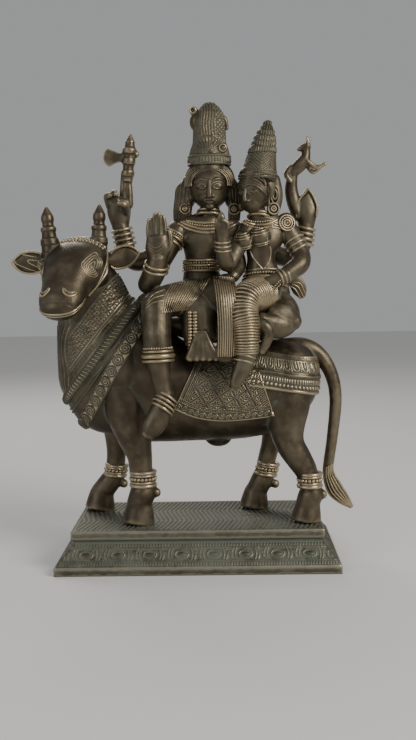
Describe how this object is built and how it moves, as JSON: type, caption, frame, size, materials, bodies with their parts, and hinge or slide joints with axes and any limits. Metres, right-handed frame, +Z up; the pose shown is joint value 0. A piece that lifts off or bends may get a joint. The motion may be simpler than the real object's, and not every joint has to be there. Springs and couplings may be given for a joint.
{
  "type": "uma maheshvara statue",
  "caption": "South Indian bronze group: the four-armed god Shiva and the goddess Uma seated on the bull Nandi, on a stepped oblong plinth, with a dark brown and green patina.",
  "frame": {"origin": "centre of the plinth's underside", "axes": "+X from the bull's head towards its tail, -Y to the front that the riders face, +Z up"},
  "size_m": [0.3326, 0.1663, 0.4564],
  "materials": {
    "green_bronze": "cast bronze, dull brown with grey-green verdigris in the mouldings",
    "brown_bronze": "cast bronze, dark brown patina, polished golden brown on the high points, green in the hollows",
    "riders_bronze": "cast bronze, brown patina with fine chased ornament, paler on the high points"
  },
  "bodies": {
    "root": {"plinth": "green_bronze", "bull": "brown_bronze", "divine_couple": "riders_bronze"}
  },
  "joints": []
}
